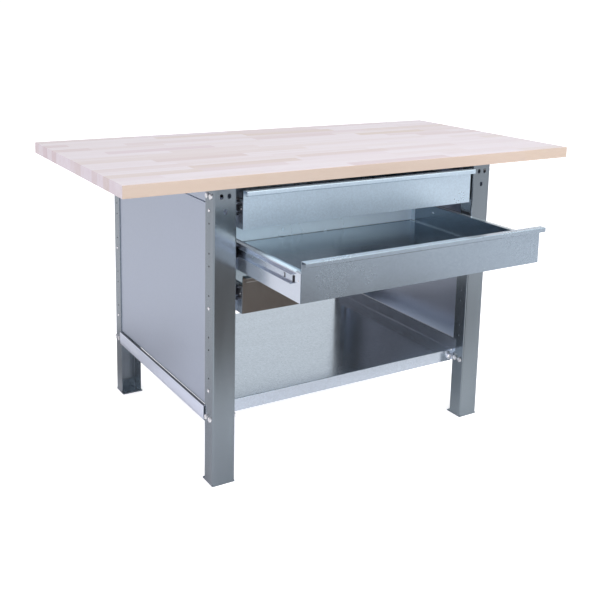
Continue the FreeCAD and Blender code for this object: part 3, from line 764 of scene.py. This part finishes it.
def head_tree():
    """A low domed head on every point, standing along its axis."""
    tree, inputs = shape_tree("Domed Heads", "diameter", "height")
    ball = made_by(tree, "GeometryNodeMeshUVSphere", {"Segments": 14, "Rings": 10, "Radius": 1.0})
    x, y, z = separate(made_by(tree, "GeometryNodeInputPosition"))
    radius = inputs["Diameter"] * 0.5
    level = (z.through("MAXIMUM", 0.0) * 1.5).through("MINIMUM", 1.0) * inputs["Height"]
    dome = reshaped(ball, combine(tree, x * radius, y * radius, level))
    dome = worked(dome, "GeometryNodeSetShadeSmooth")
    return close_tree(inputs, spread(inputs["Geometry"], dome, Rotation=standing(tree)))


def slide_height(name):
    low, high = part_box(f"slide_{name}_left_outer")
    return (low.z + high.z) / 2


def flange_rows(settings):
    """Heights on the legs' outer flanges: first those of the panel rivets, then those of the open holes."""
    tops = [slide_height("top") - row * settings.hole_pitch for row in range(5)]
    pairs = [(top, top - settings.hole_pair) for top in tops]
    riveted = (pairs[0][0], pairs[2][1], pairs[4][1])
    return riveted, [height for pair in pairs for height in pair if height not in riveted]


def hole_rows(settings, side):
    """The y of the rows of holes in a side's front leg and rear leg."""
    return (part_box(f"leg_front_{side}")[0].y + settings.hole_inset,
            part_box(f"leg_rear_{side}")[1].y - settings.hole_inset)


def flange_seats(settings, node, heights):
    """Places in line with the legs' outer flanges, on the outer face of a node of each side."""
    return [((side_face(f"{node}_{side}", side), y, z), outward(side))
            for side in SIDES for y in hole_rows(settings, side) for z in heights]


SLIDE_SCREW_FROM_REAR = 0.025
TOP_SCREW_INSET = 0.008
TOP_SCREW_STEPS = (0.1, 0.37, 0.63, 0.9)


def slide_screws(settings):
    """Screws inside the slides' outer channels, and those of the slide bearers' rear ends."""
    seats = []
    for side in SIDES:
        front, rear = hole_rows(settings, side)
        way = outward(side)
        leg_face = side_face(f"leg_front_{side}", side, True)
        channel_face = leg_face - way.x * THIN_SHEET
        for name in DRAWERS:
            z = slide_height(name)
            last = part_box(f"slide_{name}_left_outer")[1].y - SLIDE_SCREW_FROM_REAR
            for x, y in ((channel_face, front), (channel_face, last), (leg_face, rear)):
                seats.append(((x, y, z), -way))
    return seats


def top_screws():
    """Screws that hold the worktop, up through the upper rails' top flanges."""
    seats = []
    for side in SIDES:
        low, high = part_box(f"upper_rail_{side}")
        x = side_face(f"upper_rail_{side}", side, True) + outward(side).x * TOP_SCREW_INSET
        seats += [((x, low.y + step * (high.y - low.y), high.z - RAIL_SHEET), (0.0, 0.0, -1.0))
                  for step in TOP_SCREW_STEPS]
    return seats


FRONT_RIVET_SETBACK = 0.032
REAR_RIVET_SETBACK = 0.009
REAR_RIVET_DROPS = (0.024, 0.043)


def drawer_rivets(name):
    """Rivets on a drawer's sides: one close to the front, and two through the rear wall's returns."""
    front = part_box(f"drawer_{name}_front")[0].y + FRONT_RIVET_SETBACK
    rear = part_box(f"drawer_{name}_back")[1].y - REAR_RIVET_SETBACK
    level = slide_height(name)
    places = [(front, level), *((rear, level - drop) for drop in REAR_RIVET_DROPS)]
    return [((side_face(f"drawer_{name}_tray", side), y, z), outward(side))
            for side in SIDES for y, z in places]


class BENCH_OT_rivets(Operator):
    """Sets the panel rivets, the screws and the drawers' rivets"""

    bl_idname = "bench.rivets"
    bl_label = "Rivets and Screws"

    def execute(self, context):
        settings = context.scene.bench_fasteners
        colours = context.scene.bench_steel
        bright = steel("rivet_zinc", colours.bolt_colour, (0.16, 0.26), (120.0,) * 3, 0.05, 0.0, matt=0.3)
        # Dark plastic for the discs of painted shade in the legs' holes.
        shaded = dark_plastic("hole_shade", colours.buffer_colour)
        heads = head_tree()
        riveted, empty = flange_rows(settings)
        groups = [("panel_rivets", "frame", "rivet", flange_seats(settings, "leg_front", riveted), bright),
                  # Dark discs in the legs' open holes, on the side panel: painted shade.
                  ("hole_bottoms", "frame", "hole", flange_seats(settings, "side_panel", empty), shaded),
                  ("slide_screws", "frame", "screw", slide_screws(settings), bright),
                  ("top_screws", "frame", "top_screw", top_screws(), bright)]
        groups += [(f"rivets_{name}", f"drawer_{name}", "drawer_rivet", drawer_rivets(name), bright)
                   for name in DRAWERS]
        for name, body, kind, seats, material in groups:
            sizes = {part: getattr(settings, f"{kind}_{part}") for part in ("diameter", "height")}
            settle(grow(name, heads, material, settings, seats, **sizes), body, "bolt_steel")
        return {"FINISHED"}


# ---- Drawers and slides ----

BALL_SETOFF = 0.0003


def cage_tree():
    """A slide's ball cage: a web with two arms, and a row of balls through each arm."""
    tree, inputs = shape_tree("Ball Cage", "low_corner", "high_corner", "way", "ball_diameter", "ball_pitch",
                              "strip_thickness")
    low, high = inputs["Low Corner"], inputs["High Corner"]
    way, pitch, strip = inputs["Way"], inputs["Ball Pitch"], inputs["Strip Thickness"]
    width, run, height = separate(high - low)
    x, y, z = separate((high + low) * 0.5)
    radius = inputs["Ball Diameter"] * 0.5
    web = cuboid(tree, strip, run, height)
    parts = [moved(web, x + way * (width * 0.5 - strip * 0.5), y, z)]
    ball = made_by(tree, "GeometryNodeMeshUVSphere", {"Segments": 10, "Rings": 6, "Radius": radius})
    ball = worked(ball, "GeometryNodeSetShadeSmooth")
    count = math.floor(run / pitch)
    first = y - (count - 1.0) * pitch * 0.5
    ball_x = x + way * BALL_SETOFF
    for edge, sign in ((separate(low)[2], 1.0), (separate(high)[2], -1.0)):
        level = edge + radius * sign
        arm = cuboid(tree, width, run, strip)
        balls = line_of(tree, count, (ball_x, first, level), (0.0, pitch, 0.0))
        parts += [moved(arm, x, y, level), spread(balls, ball)]
    return close_tree(inputs, joined(*parts))


def moulded(name, outline, depth, places, material):
    """Flat mouldings, pushed out along x from an outline in y and z that runs anticlockwise. A place comes
    with the way that its moulding stands out."""
    vertices, faces = [], []
    count = len(outline)
    for place, way in places:
        first = len(vertices)
        for out in (0.0, depth):
            vertices += [(place.x + way.x * out, place.y + y, place.z + z) for y, z in outline]
        shell = [list(range(first, first + count))[::-1], list(range(first + count, first + 2 * count))]
        for index in range(count):
            after = (index + 1) % count
            shell.append([first + index, first + after, first + count + after, first + count + index])
        faces += [face if way.x > 0 else face[::-1] for face in shell]
    mesh = bpy.data.meshes.new(name)
    mesh.from_pydata(vertices, [], faces)
    mesh.materials.append(material)
    return add_object(name, mesh)


BUFFER_WIDTH = 0.0045
CATCH_BAR = 0.0034
CATCH_FOOT = 0.0064
CATCH_ARM = 0.002
CATCH_DEPTH = 0.0006


def buffer_outline(height):
    """A strip with rounded ends that lies before the place."""
    radius = BUFFER_WIDTH / 2
    outline = []
    for centre, start in ((-height / 2 + radius, math.pi), (height / 2 - radius, 0.0)):
        for step in range(7):
            turn = start + math.pi * step / 6
            outline.append((-radius + radius * math.cos(turn), centre + radius * math.sin(turn)))
    return outline


def catch_outline(place, height):
    """A bracket: a bar with a short foot at each end."""
    half = height / 2
    inner = half - CATCH_ARM
    upper = [(CATCH_BAR, inner), (CATCH_FOOT, inner), (CATCH_FOOT, half), (0.0, half)]
    lower = [(y, -z) for y, z in reversed(upper)]
    return [(place + y, z) for y, z in lower + upper]


class BENCH_OT_slides(Operator):
    """Finishes the slides' channels and fits their ball cages, buffers and catches"""

    bl_idname = "bench.slides"
    bl_label = "Slides"

    def execute(self, context):
        settings = context.scene.bench_slides
        colours = context.scene.bench_steel
        channel = steel("slide_zinc", colours.slide_colour, (0.18, 0.28), (12.0, 2.0, 12.0), 0.06, 0.0)
        runner = steel("runner_zinc", colours.runner_colour, (0.22, 0.30), (12.0, 2.0, 12.0), 0.06, 0.0)
        polished = steel("ball_steel", colours.ball_colour, (0.08, 0.16), (150.0,) * 3, 0.04, 0.0)
        plastic = dark_plastic("buffer_plastic", colours.buffer_colour)
        cages = cage_tree()
        buffer = buffer_outline(settings.buffer_height)
        catch = catch_outline(settings.catch_place, settings.catch_height)
        for name in DRAWERS:
            ends = []
            for side in SIDES:
                inner = f"slide_{name}_{side}_inner"
                place = Vector((side_face(inner, side, True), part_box(inner)[0].y, slide_height(name)))
                ends.append((place, outward(side)))
            webs = [(place + way * THIN_SHEET, way) for place, way in ends]
            for kind, outline, depth, places in (("buffers", buffer, settings.buffer_depth, ends),
                                                 ("catches", catch, CATCH_DEPTH, webs)):
                piece = moulded(f"{kind}_{name}", outline, depth, places, plastic)
                settle(piece, f"drawer_{name}", "slide_steel")
            for side in SIDES:
                slide = f"slide_{name}_{side}"
                coat(channel, f"{slide}_outer")
                coat(runner, f"{slide}_inner")
                low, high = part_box(f"{slide}_cage")
                cage = grow(f"balls_{name}_{side}", cages, polished, settings, low_corner=low,
                            high_corner=high, way=outward(side).x)
                settle(cage, f"cage_{name}_{side}", "slide_steel", f"{slide}_cage")
        return {"FINISHED"}


ALL_WAYS = (4.0,) * 3
INNER_SHADE_GAP = 0.0004


class BENCH_OT_drawers(Operator):
    """Finishes the drawers' sheets"""

    bl_idname = "bench.drawers"
    bl_label = "Drawers"

    def execute(self, context):
        settings = context.scene.bench_steel
        spangle = settings.spangle_size
        finishes = ((0.28, 0.34), 0.30), ((0.22, 0.28), 0.10), ((0.14, 0.20), 0.03)
        for name, (rough, matt) in zip(DRAWERS, finishes):
            # Each front's own tone carries painted light and shade.
            tone = getattr(settings, f"{name}_front")
            low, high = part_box(f"drawer_{name}_tray")
            inside = ((low.x + high.x) / 2, (high.x - low.x) / 2 - INNER_SHADE_GAP, settings.inner_shade_colour)
            # Painted highlight on the faces of the fronts and trays that look up, painted shade inside the
            # trays, and a painted shadow line at the foot of the rear walls.
            looks = {"front": (tone, rough, dict(spangle=spangle, matt=matt, fleck=0.05, upper=0.55)),
                     "tray": (settings.tray_colour, (0.18, 0.24),
                              dict(spangle=spangle, matt=0.10, fleck=0.02, upper=0.45, inner_shade=inside)),
                     "back": (settings.back_colour, (0.24, 0.32), dict(matt=0.60, shade_line=low.z + SHADE_LINE_HEIGHT))}
            for part, (base, gloss, more) in looks.items():
                material = steel(f"{name}_{part}_zinc", base, gloss, ALL_WAYS, 0.04, 0.0003, **more)
                coat(material, f"drawer_{name}_{part}")
        return {"FINISHED"}


# ---- Stage ----

# Each soft box: its name, its place, where it aims, its width and height, its power and its tint.
LIGHTS = (
    ("overhead_box", (0.6, -1.1, 3.0), (0.2, 0.1, 0.8), 2.6, 2.0, 23.0, (1.0, 0.99, 0.98)),
    ("left_box", (-3.4, 1.4, 1.9), (-0.3, 0.2, 0.4), 2.4, 2.2, 7.0, (1.0, 0.92, 0.98)),
    ("front_box", (0.1, -2.0, 1.0), (0.05, -0.2, 0.75), 1.2, 0.6, 21.0, (0.98, 0.99, 1.0)),
)


def area_light(name, place, aim, width, height, power, tint):
    """A soft box that the steel doesn't mirror."""
    lamp = bpy.data.lights.new(name, "AREA")
    lamp.shape = "RECTANGLE"
    lamp.size = width
    lamp.size_y = height
    lamp.energy = power
    lamp.color = tint
    holder = add_object(name, lamp)
    holder.location = place
    holder.rotation_euler = (Vector(aim) - Vector(place)).to_track_quat("-Z", "Y").to_euler()
    holder.visible_glossy = False


def rays(tree):
    """1 where the camera looks straight at a surface, and 1 where it is seen in a mirroring one."""
    ray = add_node(tree, "ShaderNodeLightPath").outputs
    return Wire(ray["Is Camera Ray"]), Wire(ray["Is Glossy Ray"])


FRONT_PATCH_PLACE = (0.40, -1.62)
FRONT_PATCH_RADII = (1.05, 1.15)
REAR_PATCH_PLACE = (-0.60, 0.82, 0.0)
DARK_PATCH = (0.085, 0.068, 0.058)


def floor_paint(settings):
    """Pale matt paint. Only in the steel's reflections it shows painted light and shade: a painted dark patch
    before the bench, a painted shadow behind it on the left, and a faint painted glow under the bench's front
    and on its left."""
    material, tree, shader = new_material("floor_paint")
    material.cycles.emission_sampling = "NONE"
    seen, mirrored = rays(tree)
    place = object_place(tree)
    x, y, _ = separate(place)
    across, deep = ((value - middle) / radius for value, middle, radius
                    in zip((x, y), FRONT_PATCH_PLACE, FRONT_PATCH_RADII))
    # Painted dark patch before the bench, seen only in the steel's reflections.
    dark = smooth_step(across * across + deep * deep, 1.5, 0.0) * mirrored
    # Painted shadow on the floor behind the bench, seen only in the steel's reflections.
    behind = smooth_step((place - REAR_PATCH_PLACE).through("LENGTH"), 0.36, 0.12) * mirrored
    tone = fit_range(behind, 1.0, 0.55) * fit_range(noise(place, 1.2, 2.0), 0.99, 1.01)
    # Painted glow under the bench's front and on its left, seen only in the steel's reflections.
    under = smooth_step(x, -0.2, 0.3) * 0.12 * smooth_step(y, -1.0, -0.6) * smooth_step(y, 0.0, -0.2)
    beside = smooth_step(x, -0.6, -0.9) * 0.08
    feed(shader, {"Base Color": blended(dark, scaled(tree, settings.floor_colour, tone), DARK_PATCH),
                  "Roughness": 0.9, "Specular IOR Level": 0.1, "Emission Color": (1.0, 1.0, 1.0),
                  "Emission Strength": seen * settings.floor_glow + mirrored * (under + beside)})
    return material


WINDOW_GAIN = 0.5
SLIT_GAIN = 3.2
LEFT_GAIN = 0.3
CORNER_SHARE = 0.03
BACKDROP = 1.1


def white_room(daylight):
    """The white room all round, even to the camera. It lights the bench more brightly from low in front
    and from the left, where it is rosier. The steel also mirrors a bright slit in front and a dim corner
    behind on the left."""
    world = bpy.data.worlds.new("white_room")
    world.use_nodes = True
    tree = world.node_tree
    background = next(item for item in tree.nodes if item.type == "BACKGROUND")
    seen, mirrored = rays(tree)
    x, y, z = separate(coordinate(tree, "Generated"))
    left = smooth_step(x, 0.2, -0.8)
    window = smooth_step(x * 0.4 + y * -0.9, 0.2, 0.7) * smooth_step(z, 0.55, 0.25)
    window = window * smooth_step(x, 0.52, 0.40)
    gain = window * WINDOW_GAIN + 1.0 + left * LEFT_GAIN
    corner = smooth_step(y, 0.25, 0.55) * smooth_step(x, 0.05, -0.3) * smooth_step(z, 0.12, 0.26)
    slit = window * smooth_step(z, 0.1, 0.2)
    in_steel = gain * fit_range(corner, 1.0, CORNER_SHARE) + slit * SLIT_GAIN
    light = blended(mirrored, gain, in_steel, "FLOAT") * daylight
    feed(background, {"Color": combine(tree, fit_range(left, 0.96, 1.0), fit_range(left, 0.99, 0.92), 1.0),
                      "Strength": blended(seen, light, BACKDROP, "FLOAT")})
    return world


def camera_pose(settings):
    """Where the camera stands, and how it is turned."""
    turn, tilt, roll = settings.camera_turn, settings.camera_tilt, settings.camera_roll
    ahead = Vector((math.sin(turn) * math.cos(tilt), math.cos(turn) * math.cos(tilt), -math.sin(tilt)))
    level = Vector((math.cos(turn), -math.sin(turn), 0.0))
    above = level.cross(ahead)
    right = level * math.cos(roll) + above * math.sin(roll)
    up = above * math.cos(roll) - level * math.sin(roll)
    pose = Matrix((right, up, -ahead)).transposed().to_4x4()
    pose.translation = settings.camera_place
    return pose


class BENCH_OT_stage(Operator):
    """Lays the floor, hangs the lights and sets the camera"""

    bl_idname = "bench.stage"
    bl_label = "Stage"

    def execute(self, context):
        settings = context.scene.bench_stage
        scene = context.scene
        half = settings.floor_width / 2
        corners = [(x * half, y * half, 0.0) for x, y in ((-1, -1), (1, -1), (1, 1), (-1, 1))]
        mesh = bpy.data.meshes.new("studio_floor")
        mesh.from_pydata(corners, [], [(0, 1, 2, 3)])
        mesh.materials.append(floor_paint(settings))
        floor = add_object("studio_floor", mesh)
        scene.world = white_room(settings.daylight)
        for light in LIGHTS:
            area_light(*light)

        camera = bpy.data.cameras.new("bench_camera")
        camera.sensor_width = SENSOR_WIDTH
        camera.lens = settings.lens
        camera.shift_y = settings.rise
        holder = add_object("bench_camera", camera)
        holder.matrix_world = camera_pose(settings)
        scene.camera = holder
        scene.view_settings.view_transform = "Standard"
        return {"FINISHED"}


# ---- Panel and registration ----

PIECES = (BENCH_OT_worktop, BENCH_OT_frame_steel, BENCH_OT_sheets, BENCH_OT_bolts, BENCH_OT_rivets,
          BENCH_OT_slides, BENCH_OT_drawers, BENCH_OT_stage)
SETTINGS = {"bench_worktop": WorktopSettings, "bench_steel": SteelSettings, "bench_bolts": BoltSettings,
            "bench_fasteners": FastenerSettings, "bench_slides": SlideSettings, "bench_stage": StageSettings}


class BENCH_PT_pieces(Panel):
    """Lists the bench's pieces and their sizes"""

    bl_idname = "BENCH_PT_pieces"
    bl_label = "Workbench"
    bl_space_type = "VIEW_3D"
    bl_region_type = "UI"
    bl_category = "Workbench"

    def draw(self, context):
        layout = self.layout
        for piece in PIECES:
            layout.operator(piece.bl_idname)
        for name, group in SETTINGS.items():
            box = layout.box()
            box.label(text=group.__doc__.strip("."))
            for key in group.__annotations__:
                box.prop(getattr(context.scene, name), key)


CLASSES = (*SETTINGS.values(), *PIECES, BENCH_PT_pieces)


def register():
    for item in CLASSES:
        bpy.utils.register_class(item)
    for name, group in SETTINGS.items():
        setattr(bpy.types.Scene, name, PointerProperty(type=group))


def unregister():
    for name in SETTINGS:
        delattr(bpy.types.Scene, name)
    for item in reversed(CLASSES):
        bpy.utils.unregister_class(item)


def main():
    """Makes every piece in order."""
    register()
    for piece in PIECES:
        group, name = piece.bl_idname.split(".")
        getattr(getattr(bpy.ops, group), name)()


if __name__ == "__main__":
    main()
